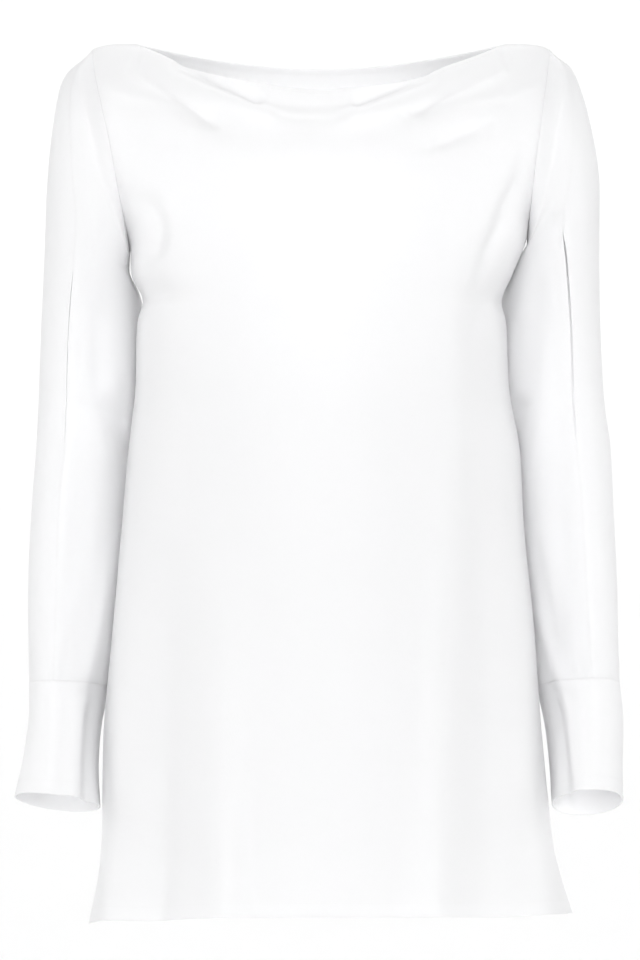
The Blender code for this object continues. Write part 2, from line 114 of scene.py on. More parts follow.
# Folds pressed into the panels, each along a curve from its start, pulled towards its bend, to its
# end, in the plane seen from the front. A positive depth is a trough and a negative one a ridge.
PanelFold = namedtuple(
    "PanelFold", "start_x start_z bend_x bend_z end_x end_z width start_depth end_depth")
PANEL_FOLDS = {
    "front": (
        # The cowl: a sharp trough from each shoulder, soft under the middle of the neck
        (-128, -14, -88, -34, -46, -52, 7, 4.0, 6.0),
        (100, -25, 62, -40, 24, -54, 7, 4.0, 6.0),
        (-50, -52, -12, -60, 28, -54, 10, 5.0, 5.0),
        (-158, -24, -125, -46, -84, -77, 9, 3.0, 4.5),
        (158, -24, 118, -38, 74, -66, 9, 3.0, 4.5),
        (140, -75, 118, -82, 94, -93, 8, 2.5, 2.5),
        # Rolls of cloth between the troughs
        (-112, -36, -70, -58, -34, -68, 8, -1.5, -3.0),
        (108, -46, 66, -60, 18, -69, 8, -1.5, -3.0),
        # Drag lines at the underarms
        (-160, -134, -122, -152, -146, -190, 8, 2.5, 4.5),
        (182, -84, 170, -130, 140, -192, 9, 3.0, 4.0),
        # The long drapes, which deepen towards the hem
        (-128, -270, -140, -540, -142, -800, 26, 2.0, 11.0),
        (138, -190, 154, -500, 142, -800, 24, 3.5, 10.0),
        (-84, -420, -84, -600, -78, -800, 22, -1.0, -9.0),
        (108, -220, 108, -480, 96, -800, 16, -2.0, -5.5),
        (-168, -420, -172, -600, -178, -800, 13, -1.0, -4.5),
        (178, -440, 182, -600, 190, -800, 13, -0.5, -3.0),
        # The hem's middle, which curls in
        (-48, -774, 4, -784, 56, -774, 28, 6.0, 6.0),
    ),
    "back": (
        (-86, -40, 0, -62, 88, -40, 14, 2.5, 2.5),
        (-150, -150, -118, -170, -96, -215, 11, 3.0, 2.0),
        (158, -140, 126, -165, 100, -220, 11, 3.0, 2.0),
        (-104, -240, -100, -500, -96, -800, 22, 2.0, 10.0),
        (-30, -300, -28, -540, -26, -800, 20, 1.0, 8.0),
        (58, -260, 60, -520, 64, -800, 21, 1.5, 9.0),
        (140, -300, 142, -520, 144, -800, 18, 1.0, 8.0),
        (-66, -400, -64, -600, -62, -800, 17, -1.0, -5.5),
        (104, -380, 104, -600, 104, -800, 17, -1.0, -5.5),
    ),
}
# Finer creases of the panels, in the same terms
PANEL_CREASES = {
    "front": (
        # The long drapes' sharper lines
        (-128, -420, -140, -600, -143, -800, 15, 0.5, 3.5),
        (-92, -400, -88, -600, -80, -800, 13, -0.4, -3.0),
        (-112, -262, -111, -330, -118, -410, 8, 0.2, 1.2),
        (-62, -560, -58, -680, -54, -800, 9, 0.2, 1.6),
        (-166, -480, -172, -640, -182, -800, 10, -0.3, -1.8),
        (104, -330, 102, -600, 98, -800, 9, -0.4, -1.6),
        (150, -560, 154, -680, 160, -800, 10, 0.3, 1.2),
        (176, -520, 186, -660, 196, -800, 9, -0.3, -1.5),
        # Round the neck and shoulders
        (-128, -15, -90, -33, -48, -52, 3.5, 1.4, 2.2),
        (102, -26, 64, -40, 26, -54, 3.5, 1.2, 2.0),
        (-34, -62, -8, -66, 20, -63, 5, 0.8, 1.0),
        (-162, -22, -126, -45, -84, -77, 4, 1.0, 1.4),
        (176, -13, 120, -38, 74, -66, 4, 0.8, 1.4),
        (-150, -42, -128, -58, -104, -74, 5, 0.4, 0.8),
        (152, -68, 118, -84, 84, -98, 4, 0.7, 0.9),
        (170, -36, 160, -48, 148, -58, 4, 0.5, 0.5),
        # Underarms
        (-150, -128, -134, -140, -120, -150, 5, 0.8, 0.5),
        (-150, -196, -138, -206, -126, -222, 6, 1.0, 0.6),
        (172, -116, 162, -134, 152, -150, 5, 1.0, 1.0),
        (158, -150, 146, -172, 134, -214, 5, 1.2, 0.8),
        (150, -216, 140, -232, 126, -262, 6, 0.9, 0.4),
    ),
    "back": (
        (-70, -36, -10, -50, 52, -36, 5, 0.8, 0.9),
        (-152, -40, -118, -62, -86, -96, 6, 0.8, 1.2),
        (150, -46, 120, -70, 92, -112, 6, 0.8, 1.1),
        (-148, -134, -128, -158, -112, -196, 5, 1.0, 0.7),
        (158, -150, 140, -176, 126, -224, 5, 1.1, 0.6),
        (-84, -330, -78, -520, -70, -800, 10, 0.4, 2.0),
        (20, -380, 18, -560, 12, -800, 11, -0.4, -2.4),
        (84, -300, 88, -540, 96, -800, 10, 0.3, 2.2),
        (-128, -420, -132, -600, -142, -800, 10, -0.3, -2.0),
        (122, -440, 128, -620, 134, -800, 9, -0.3, -1.8),
    ),
}

# How folds fade: towards a panel's side edges and shoulder seams, and towards their own ends, where
# a share of the depth is left
FOLD_FADE_SHARE = 0.144
SHOULDER_FADE_ROWS = 1.5
FOLD_END_FADE = 1.6
FOLD_END_SHARE = 0.3
FOLD_SEGMENTS = 14

# One ring round a sleeve a row, from just outside the armhole to the cuff. It gives the points
# nearest to the body and farthest from it, the depth to the front and back of its middle, where
# that middle lies, how far the front is lifted, how far the side by the body is tucked in and swung
# back behind it, and the turns of the two seams in degrees: 0 points away from the body, 90 to the
# front and 180 to the body. The third and fourth rows of the left sleeve are tucked in and swung
# back up to 4 mm more than its solids are, which closes the cloth under the arm.
SleeveRow = namedtuple("SleeveRow", "inner_x inner_z outer_x outer_z front back middle_y lift"
                       " tuck swing overarm underarm")
TUCK_SHARPNESS = 3.0
ARMHOLE_TURNS = (0.0, 180.0)
SLEEVE_ROWS = {
    "right": (
        (163.5, -181, 212.5, -20, 56, 58, 0, 0, 0, 0, 24, 182),
        (163.8, -185, 223.5, -37, 56, 57, 0, 0, 0, 2, 48, 184),
        (164.2, -190, 231, -80, 54, 56, 0, 0, 0, 6, 66, 187),
        (164.6, -199, 235, -125, 52, 54, 1, 0, 1, 14, 76, 191),
        (165.2, -218, 237, -178, 50, 46, 2, 0, 10, 36, 74, 196),
        (164.8, -250, 240, -242, 49, 42, 5, 0, 14, 50, 70, 202),
        (164.0, -306, 242.5, -306, 48, 41, 7, 0, 12, 52, 69, 207),
        (169.0, -348, 244.5, -348, 47, 41, 6, 1, 12, 52, 71, 210),
        (180.0, -396, 248, -394, 45, 40, 4, 2, 15, 52, 73, 212),
        (181.5, -462, 251, -458, 43, 38, 0, 4, 14, 54, 74, 212),
        (187.5, -522, 250.5, -518, 40, 36, -8, 6, 14, 54, 75, 212),
        (192.0, -556, 249.5, -551, 38, 35, -14, 7, 10, 50, 75, 212),
    ),
    "left": (
        (178.2, -172, 214.5, -19, 56, 58, 0, 0, 0, 0, 26, 182),
        (177.8, -176, 226, -44, 56, 57, 0, 0, 0, 2, 52, 184),
        (177.2, -181, 235, -80, 54, 56, 0, 0, 4, 14, 75, 187),
        (175.8, -191, 240.5, -118, 52, 54, 1, 0, 10, 28, 90, 191),
        (173.4, -212, 240.5, -172, 50, 46, 2, 0, 15, 40, 82, 196),
        (171.0, -250, 241.5, -242, 49, 42, 5, 0, 19, 56, 75, 202),
        (171.0, -306, 245, -306, 48, 41, 7, 0, 17, 56, 75.5, 207),
        (174.0, -348, 250.5, -348, 47, 41, 6, 1, 14, 54, 78, 210),
        (182.0, -396, 252.5, -394, 45, 40, 4, 2, 15, 54, 78, 212),
        (185.0, -462, 255.5, -458, 43, 38, 0, 5, 11, 54, 78, 212),
        (190.5, -522, 256.5, -518, 40, 36, -8, 8, 8, 56, 78, 212),
        (193.5, -556, 257.5, -551, 38, 35, -14, 9, 6, 46, 78, 212),
    ),
}
# A cuff carries on from the last ring of its sleeve.
CUFF_ROWS = {
    "right": (
        (192.5, -586, 250, -582, 37, 34, -21, 8, 4, 40, 75, 212),
        (190.5, -621, 254.5, -616, 37, 34, -31, 9, 0, 32, 75, 212),
        (188.5, -656, 261, -646, 38, 38, -40, 9, 0, 26, 75, 212),
    ),
    "left": (
        (196.0, -586, 260, -582, 37, 34, -21, 10, 2, 38, 78, 212),
        (197.5, -621, 259, -617, 37, 34, -31, 12, 0, 32, 78, 212),
        (199.0, -653, 259, -649, 38, 38, -40, 13, 0, 28, 78, 212),
    ),
}

# Folds round the sleeves and cuffs, each from a turn and a height to another
SleeveFold = namedtuple(
    "SleeveFold", "start_turn start_z end_turn end_z width start_depth end_depth")
SLEEVE_FOLDS = {
    "right": (
        (104, -215, 110, -300, 10, 1.5, 4.0),
        (110, -300, 164, -372, 10, 4.0, 4.5),
        (252, -330, 190, -392, 11, 3.0, 4.0),
        (330, -120, 300, -250, 12, 2.5, 2.0),
        (132, -440, 119, -556, 9, -1.0, -3.5),
        (119, -556, 115, -660, 8, -3.5, -3.0),
        (300, -470, 280, -560, 10, 2.0, 3.0),
        (250, -556, 248, -660, 9, -2.5, -2.0),
    ),
    "left": (
        (112, -200, 128, -300, 10, 1.5, 4.0),
        (128, -300, 170, -376, 10, 4.0, 4.0),
        (256, -326, 192, -388, 11, 3.0, 4.0),
        (326, -110, 304, -240, 12, 2.5, 2.0),
        (146, -478, 118, -556, 9, -1.0, -3.5),
        (118, -556, 106, -660, 8, -3.5, -3.0),
        (296, -460, 284, -556, 10, 2.0, 3.0),
        (252, -556, 250, -660, 9, -2.5, -2.0),
    ),
}
# Finer creases of the sleeves and cuffs, in the same terms
SLEEVE_CREASES = {
    "right": (
        (92, -120, 100, -196, 5, 0.6, 1.0),
        (126, -262, 140, -330, 5, 0.6, 1.2),
        (118, -332, 136, -372, 4, 0.8, 0.6),
        (100, -400, 92, -470, 6, 0.5, 0.9),
        (128, -420, 120, -500, 5, 0.6, 1.0),
        (96, -500, 90, -552, 5, 0.5, 0.8),
        (107, -548, 105, -700, 5, -0.9, -1.5),
        (138, -560, 138, -700, 9, 1.4, 3.0),
        (20, -300, 350, -360, 6, 1.0, 0.8),
        (330, -380, 310, -440, 6, 1.2, 0.8),
        (230, -360, 262, -420, 5, 0.9, 1.0),
    ),
    "left": (
        (90, -110, 98, -180, 5, 0.6, 1.0),
        (132, -240, 146, -322, 5, 0.6, 1.3),
        (120, -318, 142, -366, 4, 0.8, 0.6),
        (104, -396, 96, -480, 6, 0.5, 0.9),
        (134, -430, 124, -520, 5, 0.6, 1.1),
        (92, -488, 88, -548, 5, 0.5, 0.8),
        (100, -548, 98, -700, 5, -1.0, -1.7),
        (130, -560, 129, -700, 9, 1.4, 3.0),
        (14, -290, 346, -350, 6, 1.0, 0.8),
        (326, -370, 300, -436, 6, 1.2, 0.8),
        (236, -350, 266, -414, 5, 0.9, 1.0),
    ),
}

# The length round a sleeve that stands for a degree of turn where folds are drawn
ARC_PER_DEGREE = 0.73
ARMHOLE_FADE_ROWS = 3.0

SIDE_SIGN = {"right": -1.0, "left": 1.0}
PANEL_SIGN = {"front": -1.0, "back": 1.0}

# Pieces share a normal at a seam where the cosine of the turn between them is over this.
SHARED_TURN = -0.3

# Edges of the cloth that turn more than this are rounded.
SHARP_ANGLE = math.radians(50.0)
EDGE_BEVEL = 0.04
EDGE_SEGMENTS = 2

# Each piece's cut, all round where it is a tube: its greatest width and length, and its area
Cut = namedtuple("Cut", "width length area")
CUTS = {
    "front_panel": Cut(0.568, 0.797, 0.350),
    "back_panel": Cut(0.542, 0.801, 0.340),
    "sleeve_front_right": Cut(0.212, 0.562, 0.0550),
    "sleeve_back_right": Cut(0.263, 0.568, 0.0846),
    "sleeve_front_left": Cut(0.202, 0.562, 0.0542),
    "sleeve_back_left": Cut(0.250, 0.570, 0.0866),
    "cuff_right": Cut(0.253, 0.113, 0.0242),
    "cuff_left": Cut(0.253, 0.108, 0.0240),
}

# The edges of a piece: the axis of its rows that runs away from each, and whether it runs backwards
EDGES = {"top": (0, False), "hem": (0, True), "start": (1, False), "end": (1, True)}

# How far past its stitching a turned edge thins to one layer
TURN_FADE = 2.5

# Stitches: a bead's mesh, the smallest share of its full size, and its lift off the cloth
STITCH_SEGMENTS = 6
STITCH_RINGS = 4
STITCH_SMALLEST = 0.82
STITCH_LIFT = 0.02

# How far the satin's roughness varies each way between its threads
ROUGHNESS_SPREAD = 0.05

# The photograph's frame: its height in pixels, the real size of one, and the row of the shoulders
PHOTO_HEIGHT = 960
PIXEL_SIZE = 0.861 * MM
SHOULDER_PIXEL_ROW = 44
FILM_HEIGHT = 24.0

# The studio in metres: the radius of its floor's upturned edge, the height of its wall, the parts
# that both are made of, and the turns of the side and rear lights from the front and their distance
STAGE_TURN_UP = 2.5
STAGE_WALL = 7.0
STAGE_TURN_PARTS = 12
STAGE_SIDES = 96
SIDE_LIGHT_TURN = 80.0
REAR_LIGHT_TURN = 125.0
SIDE_LIGHT_REACH = 3.0


# Settings

def length_setting(name, description, default):
    """A setting in metres."""
    return bpy.props.FloatProperty(
        name=name, description=description, unit="LENGTH", default=default)


def power_setting(name, description, default):
    """A setting in watts."""
    return bpy.props.FloatProperty(
        name=name, description=description, unit="POWER", default=default)


def share_setting(name, description, default):
    """A setting from 0 to 1."""
    return bpy.props.FloatProperty(
        name=name, description=description, subtype="FACTOR", min=0.0, max=1.0, default=default)


def colour_setting(name, description, default):
    """A setting for a colour."""
    return bpy.props.FloatVectorProperty(
        name=name, description=description, subtype="COLOR", size=3, min=0.0, max=1.0,
        default=default)


class TunicClothSettings(bpy.types.PropertyGroup):
    """The satin"""
    colour: colour_setting("Satin colour", "Colour of the satin", (0.955, 0.955, 0.965))
    roughness: share_setting("Satin roughness", "How matt the satin is", 0.46)
    sheen: share_setting("Sheen", "Strength of the soft shine at grazing angles", 0.08)
    light_spread: length_setting("Light spread", "How far light travels inside the satin", 0.002)
    thickness: length_setting("Cloth thickness", "Thickness of one layer of the satin", 0.0006)
    hem_thickness: length_setting(
        "Hem thickness", "Thickness where the satin is turned in and sewn", 0.0012)
    thread_spacing: length_setting(
        "Thread spacing", "Distance between the threads of the weave", 0.0005)


class TunicCutSettings(bpy.types.PropertyGroup):
    """The gaps between the pieces"""
    seam_gap: length_setting("Seam gap", "Gap between the pieces at a seam", 0.00002)
    vent_gap: length_setting("Vent gap", "How far each side vent opens at the hem", 0.005)


class TunicSewingSettings(bpy.types.PropertyGroup):
    """The thread, and the stitches along the sewn edges"""
    thread_colour: colour_setting(
        "Thread colour", "Colour of the sewing thread", (0.94, 0.94, 0.95))
    thread_width: length_setting("Thread width", "Width of the sewing thread", 0.0003)
    stitch_length: length_setting("Stitch length", "Length of a stitch", 0.0024)
    stitch_pitch: length_setting("Stitch pitch", "Distance from one stitch to the next", 0.0030)
    hem_inset: length_setting("Hem depth", "Distance of the stitching from the hem", 0.012)
    edge_inset: length_setting(
        "Edge depth", "Distance of the stitching from a slit, vent or neck edge", 0.004)
    seed: bpy.props.IntProperty(
        name="Seed", description="Seed for the unevenness of the stitches", default=7)


class TunicStageSettings(bpy.types.PropertyGroup):
    """The studio, its lights and the camera"""
    camera_distance: length_setting(
        "Camera distance", "Distance of the camera from the tunic", 5.0)
    floor_height: length_setting("Floor height", "Height of the floor below the shoulders", -1.4)
    stage_radius: length_setting(
        "Stage radius", "Radius of the round floor and its upturned edge", 9.0)
    stage_colour: colour_setting(
        "Stage colour", "Colour of the floor and backdrop", (0.93, 0.93, 0.93))
    front_power: power_setting("Front light", "Power of the soft light over the camera", 64.0)
    key_power: power_setting("Key light", "Power of the soft light high in front", 15.0)
    side_power: power_setting("Side light", "Power of the soft light at each side", 16.0)
    rear_power: power_setting("Rear light", "Power of the soft light behind each side", 6.0)
    backdrop_power: power_setting("Backdrop light", "Power of the light on the backdrop", 305.0)
    hollow_power: power_setting("Hollow light", "Power of the weak light inside the body", 0.095)
    cuff_power: power_setting("Cuff light", "Power of the weak light inside each cuff", 0.008)
    sleeve_power: power_setting("Sleeve light", "Power of the weak light inside each sleeve", 0.072)
    room_strength: bpy.props.FloatProperty(
        name="Room light", description="Strength of the light from all round", min=0.0,
        default=0.25)


# Curves

def smooth_step(value):
    """Ease from 0 to 1 as a value does, and stay there on both sides."""
    value = np.clip(value, 0.0, 1.0)
    return value * value * (3.0 - 2.0 * value)


def curve_between(before, start, end, after, t):
    """The points at t on the Catmull-Rom curves from start to end."""
    return 0.5 * (2.0 * start + (end - before) * t
                  + (2.0 * before - 5.0 * start + 4.0 * end - after) * t * t
                  + (3.0 * start - before - 3.0 * end + after) * t * t * t)


def run_through(stations, before=None):
    """Rows at even steps on the curves through rows of points, which come from a row before."""
    before = 2.0 * stations[0] - stations[1] if before is None else before
    padded = [before, *stations, 2.0 * stations[-1] - stations[-2]]
    rows = []
    for k in range(len(stations) - 1):
        for step in range(STEPS_PER_ROW):
            rows.append(curve_between(*padded[k:k + 4], step / STEPS_PER_ROW))
    return np.array(rows + [stations[-1]])


class Cloth:
    """A piece of cloth: its rows of points, and their places on the plane where folds are drawn.

    Closed rows are rings, and turned ones run the other way round the wearer.
    """

    def __init__(self, rows, places, closed=False, turned=False):
        self.rows = rows
        self.places = places
        self.closed = closed
        self.turned = turned
        self.normals = None


# The body

def top_edge(panel, u):
    """The shoulder seams and neck edge, u going from -1 at the right tip to 1."""
    tips = np.where(u > 0.0, SHOULDER_TIPS["left"], SHOULDER_TIPS["right"])
    reach = tips * np.sin(TOP_EDGE_TURN * np.abs(u)) / math.sin(TOP_EDGE_TURN)
    neck_reach = tips * math.sin(TOP_EDGE_TURN * NECK_SHARE) / math.sin(TOP_EDGE_TURN)
    along_seam = np.clip((reach - neck_reach) / (tips - neck_reach), 0.0, 1.0)
    along_neck = np.clip(reach / neck_reach, 0.0, 1.0)
    depth = NECK_DEPTH[panel] * (1.0 - along_neck ** NECK_DEPTH_CURVE)
    height = (-SHOULDER_DROP * along_seam ** SHOULDER_ROUNDING
              - NECK_DROP[panel] * (1.0 - along_neck ** NECK_HEIGHT_CURVE))
    return np.stack((np.sign(u) * reach, PANEL_SIGN[panel] * depth, height), axis=-1)


def ring_points(panel, row, u):
    """The points of one panel on a ring round the body."""
    depth, arm_depth, middle_z = (
        (row.front, row.arm_front, row.front_z) if panel == "front"
        else (row.back, row.arm_back, row.back_z))
    reach = np.where(u > 0.0, row.left, row.right)
    edge_z = np.where(u > 0.0, row.left_z, row.right_z)
    power = 2.0 / PANEL_SQUARENESS
    edge_turn = math.acos((arm_depth / depth) ** (1.0 / power))
    turn = edge_turn * np.abs(u)
    x = reach * (np.sin(turn) / math.sin(edge_turn)) ** power
    y = depth * np.maximum(np.cos(turn), 0.0) ** power
    z = middle_z + (edge_z - middle_z) * np.abs(u) ** NECK_HEIGHT_CURVE
    return np.stack((np.sign(u) * x, PANEL_SIGN[panel] * y, z), axis=-1)


def panel_cloth(panel):
    """A panel's rows from its top edge to its hem, each from the right edge to the left."""
    other = "back" if panel == "front" else "front"
    u = np.linspace(-1.0, 1.0, PANEL_COLUMNS + 1)
    stations = [top_edge(panel, u)] + [ring_points(panel, row, u) for row in BODY_ROWS]
    straight_on = 2.0 * stations[0] - stations[1]
    over_shoulder = ring_points(other, BODY_ROWS[0], u)
    shoulder_share = smooth_step((np.abs(u) - NECK_SHARE) / EDGE_BLEND + 1.0)[:, None]
    rows = run_through(stations, straight_on + (over_shoulder - straight_on) * shoulder_share)
    for edge, side_sign in ((0, -1.0), (-1, 1.0)):
        column = [station[edge] for station in stations]
        armhole = run_through(column[:UNDERARM_ROW + 1], over_shoulder[edge])
        kinked = np.concatenate((armhole, run_through(column[UNDERARM_ROW:])[1:]))
        edge_share = smooth_step((side_sign * u - 1.0) / EDGE_BLEND + 1.0)
        rows += (kinked - rows[:, edge])[:, None, :] * edge_share[None, :, None]
    return Cloth(rows, rows[..., [0, 2]].copy(), turned=panel == "back")


# The sleeves and cuffs

def ring_round_sleeve(row, side, turns):
    """The points of a ring round a sleeve, at turns in degrees."""
    out = np.cos(np.radians(turns))
    forward = np.sin(np.radians(turns))
    x = 0.5 * (row.outer_x + row.inner_x) + 0.5 * (row.outer_x - row.inner_x) * out
    z = 0.5 * (row.outer_z + row.inner_z) + 0.5 * (row.outer_z - row.inner_z) * out
    depth = np.where(forward > 0.0, row.front, row.back)
    tucked = (0.5 - 0.5 * out) ** TUCK_SHARPNESS
    return np.stack((SIDE_SIGN[side] * (x - row.tuck * tucked),
                     row.middle_y - depth * forward + row.swing * tucked,
                     z + row.lift * forward), axis=-1)


def seam_to_seam(overarm, underarm, half):
    """The turns of a half sleeve's points, from one of its two seams to the other."""
    start, end = (overarm, underarm) if half == "front" else (underarm, overarm + 360.0)
    return np.linspace(start, end, STEPS_PER_ROW * UNDERARM_ROW + 1)


def arm_cloth(side, stations, turns, closed=False):
    """The cloth through stations round the arm, whose points lie at turns in degrees."""
    rows = run_through(stations)
    places = np.stack((run_through(turns) * ARC_PER_DEGREE, rows[..., 2]), axis=-1)
    return Cloth(rows, places, closed, turned=side == "left")


def sleeve_cloth(side, half, armhole):
    """A half sleeve's rows from the armhole to the cuff, each from one seam to the other."""
    turns = [seam_to_seam(*ARMHOLE_TURNS, half)]
    stations = [armhole]
    for row in map(SleeveRow._make, SLEEVE_ROWS[side]):
        turns.append(seam_to_seam(row.overarm, row.underarm, half))
        stations.append(ring_round_sleeve(row, side, turns[-1]))
    return arm_cloth(side, stations, turns)


def cuff_cloth(side):
    """A cuff's rings, from its seam to its hem."""
    turns = []
    stations = []
    for row in map(SleeveRow._make, (SLEEVE_ROWS[side][-1], *CUFF_ROWS[side])):
        front = seam_to_seam(row.overarm, row.underarm, "front")
        back = seam_to_seam(row.overarm, row.underarm, "back")[1:-1]
        turns.append(np.concatenate((front, back)))
        stations.append(ring_round_sleeve(row, side, turns[-1]))
    return arm_cloth(side, stations, turns, closed=True)


# Folds

def fold_corners(fold):
    """Corners on a panel fold's bent curve."""
    start, bend, end = (np.array(point, float) for point in (
        (fold.start_x, fold.start_z), (fold.bend_x, fold.bend_z), (fold.end_x, fold.end_z)))
    shares = np.linspace(0.0, 1.0, FOLD_SEGMENTS + 1)[:, None]
    return ((1.0 - shares) ** 2 * start + 2.0 * shares * (1.0 - shares) * bend
            + shares ** 2 * end)


def turn_corners(fold, shift):
    """The two ends of a sleeve fold on the unrolled sleeve, moved round by a shift."""
    return np.array((((fold.start_turn + shift) * ARC_PER_DEGREE, fold.start_z),
                     ((fold.end_turn + shift) * ARC_PER_DEGREE, fold.end_z)))


def press_at(places, corners, fold):
    """How deep a fold presses at each place, fading beside its line and towards its ends."""
    nearest = np.full(places.shape[:-1], np.inf)
    along = np.zeros(places.shape[:-1])
    for k in range(len(corners) - 1):
        run = corners[k + 1] - corners[k]
        share = np.clip((places - corners[k]) @ run / (run @ run), 0.0, 1.0)
        distance = np.linalg.norm(places - corners[k] - share[..., None] * run, axis=-1)
        closer = distance < nearest
        nearest = np.where(closer, distance, nearest)
        along = np.where(closer, (k + share) / (len(corners) - 1), along)
    depth = fold.start_depth + (fold.end_depth - fold.start_depth) * along
    length = np.linalg.norm(np.diff(corners, axis=0), axis=-1).sum()
    from_end = np.minimum(along, 1.0 - along) * length
    run_in = smooth_step(from_end / (FOLD_END_FADE * fold.width))
    depth = depth * (FOLD_END_SHARE + (1.0 - FOLD_END_SHARE) * run_in)
    return depth * np.exp(-(nearest / fold.width) ** 2)


def panel_press(cloth, folds):
    """The folds of a panel, which end at the side seams, armholes and shoulder seams."""
    row_count, column_count = cloth.rows.shape[:2]
    u = np.abs(np.linspace(-1.0, 1.0, column_count))
    stations = np.arange(row_count)[:, None] / STEPS_PER_ROW
    edge_fade = smooth_step((1.0 - u) / FOLD_FADE_SHARE)
    shoulder_share = smooth_step((u - NECK_SHARE) / EDGE_BLEND + 1.0)
    shoulder_fade = smooth_step(stations / SHOULDER_FADE_ROWS)
    fade = edge_fade * (1.0 - shoulder_share * (1.0 - shoulder_fade))
    return fade * sum(press_at(cloth.places, fold_corners(fold), fold)
                      for fold in map(PanelFold._make, folds))


def sleeve_press(cloth, folds):
    """The folds of a sleeve or cuff, drawn again one turn before and after."""
    return sum(press_at(cloth.places, turn_corners(fold, shift), fold)
               for fold in map(SleeveFold._make, folds) for shift in (-360.0, 0.0, 360.0))


# Normals, shared at the seams

def own_normals(cloth):
    """Outward normals at a piece's points, from its own faces alone."""
    rows = np.concatenate((cloth.rows, cloth.rows[:, :1]), axis=1) if cloth.closed else cloth.rows
    upper, lower = rows[:-1], rows[1:]
    faces = np.cross(lower[:, 1:] - upper[:, :-1], upper[:, 1:] - lower[:, :-1])
    faces /= np.linalg.norm(faces, axis=-1, keepdims=True)
    if cloth.turned:
        faces = -faces
    normals = np.zeros_like(rows)
    for row_part in (slice(0, -1), slice(1, None)):
        for column_part in (slice(0, -1), slice(1, None)):
            normals[row_part, column_part] += faces
    if cloth.closed:
        normals[:, 0] += normals[:, -1]
        normals = normals[:, :-1]
    return normals / np.linalg.norm(normals, axis=-1, keepdims=True)


def border_of(cloth):
    """The row and column of each point on a piece's edges."""
    last_row, last_column = (count - 1 for count in cloth.rows.shape[:2])
    border = [(row, column) for row in (0, last_row) for column in range(last_column + 1)]
    if not cloth.closed:
        border += [(row, column) for column in (0, last_column) for row in range(1, last_row)]
    return border


def share_normals(cloths):
    """Give each piece its normals, shared where pieces meet unless they fold back on each other."""
    meeting = {}
    for cloth in cloths.values():
        cloth.normals = own_normals(cloth)
        for place in border_of(cloth):
            key = tuple(np.round(cloth.rows[place], 2) + 0.0)
            meeting.setdefault(key, []).append((cloth, place, cloth.normals[place].copy()))
    for group in meeting.values():
        for cloth, place, normal in group:
            total = sum(other for _, _, other in group if other @ normal > SHARED_TURN)
            cloth.normals[place] = total / np.linalg.norm(total)


@cache
def drape():
    """Every piece of cloth with its folds pressed in, worked out once."""
    cloths = {"front_panel": panel_cloth("front"), "back_panel": panel_cloth("back")}
    armhole_points = STEPS_PER_ROW * UNDERARM_ROW + 1
    for side, edge in (("right", 0), ("left", -1)):
        front_edge = cloths["front_panel"].rows[:armhole_points, edge]
        back_edge = cloths["back_panel"].rows[:armhole_points, edge]
        cloths[f"sleeve_front_{side}"] = sleeve_cloth(side, "front", front_edge)
        cloths[f"sleeve_back_{side}"] = sleeve_cloth(side, "back", back_edge[::-1])
        cloths[f"cuff_{side}"] = cuff_cloth(side)
    share_normals(cloths)
    for panel in ("front", "back"):
        cloth = cloths[f"{panel}_panel"]
        press = panel_press(cloth, PANEL_FOLDS[panel] + PANEL_CREASES[panel])
        cloth.rows = cloth.rows - cloth.normals * press[..., None]
    for side in ("right", "left"):
        for name in (f"sleeve_front_{side}", f"sleeve_back_{side}", f"cuff_{side}"):
            cloth = cloths[name]
            press = sleeve_press(cloth, SLEEVE_FOLDS[side] + SLEEVE_CREASES[side])
            if name.startswith("sleeve"):
                stations = np.arange(len(cloth.rows)) / STEPS_PER_ROW
                press *= smooth_step(stations / ARMHOLE_FADE_ROWS)[:, None]
            cloth.rows = cloth.rows - cloth.normals * press[..., None]
    share_normals(cloths)
    return cloths


# Walls

def side_gap(z, settings):
    """Half the gap at a side seam, which opens into the vent above the hem."""
    opening = smooth_step((VENT_TOP - z) / VENT_LENGTH)
    return 0.5 * (settings.seam_gap + settings.vent_gap * opening) / MM


def overarm_gap(z, side, settings):
    """Half the gap at an overarm seam, which opens into the slit."""
    slit = SLITS[side]
    opening = smooth_step((slit.top - z) / SLIT_TAPER) * smooth_step((z - SLIT_BOTTOM) / SLIT_TAPER)
    return 0.5 * (settings.seam_gap / MM + slit.gap * opening)


def drawn_back(cloth, row_gap, column_gaps):
    """A piece's points, drawn back from its outer rows and columns by half of each seam's gap."""
    def towards(edge, inside, gap):
        step = inside - edge
        return step / np.linalg.norm(step, axis=-1, keepdims=True) * np.reshape(gap, (-1, 1))

    ends = ((0, 1), (-1, -2))
    rows = cloth.rows.copy()
    for edge, inside in ends:
        rows[edge] += towards(cloth.rows[edge], cloth.rows[inside], row_gap)
    for (edge, inside), gap in zip(ends, column_gaps):
        rows[:, edge] += towards(cloth.rows[:, edge], cloth.rows[:, inside], gap)
    return rows


def cut_out(name, cut):
    """A draped piece and its points, drawn back from its seams, vents and slit."""
    cloth = drape()[name]
    plain_gap = 0.5 * cut.seam_gap / MM
    gaps = []
    if name.endswith("panel"):
        gaps = [side_gap(cloth.rows[:, edge, 2], cut) for edge in (0, -1)]
    elif name.startswith("sleeve"):
        _, half, side = name.split("_")
        overarm = 0 if half == "front" else -1
        gaps = [np.full(len(cloth.rows), plain_gap)] * 2
        gaps[overarm] = overarm_gap(cloth.rows[:, overarm, 2], side, cut)
    return cloth, drawn_back(cloth, plain_gap, gaps)


def reach_from(rows, edge):
    """How far each point lies from an edge of its piece, along the cloth."""
    axis, backwards = EDGES[edge]
    turned = np.flip(rows, axis) if backwards else rows
    steps = np.linalg.norm(np.diff(turned, axis=axis), axis=-1)
    reach = np.cumsum(np.concatenate((np.zeros_like(steps.take([0], axis)), steps), axis), axis)
    return np.flip(reach, axis) if backwards else reach


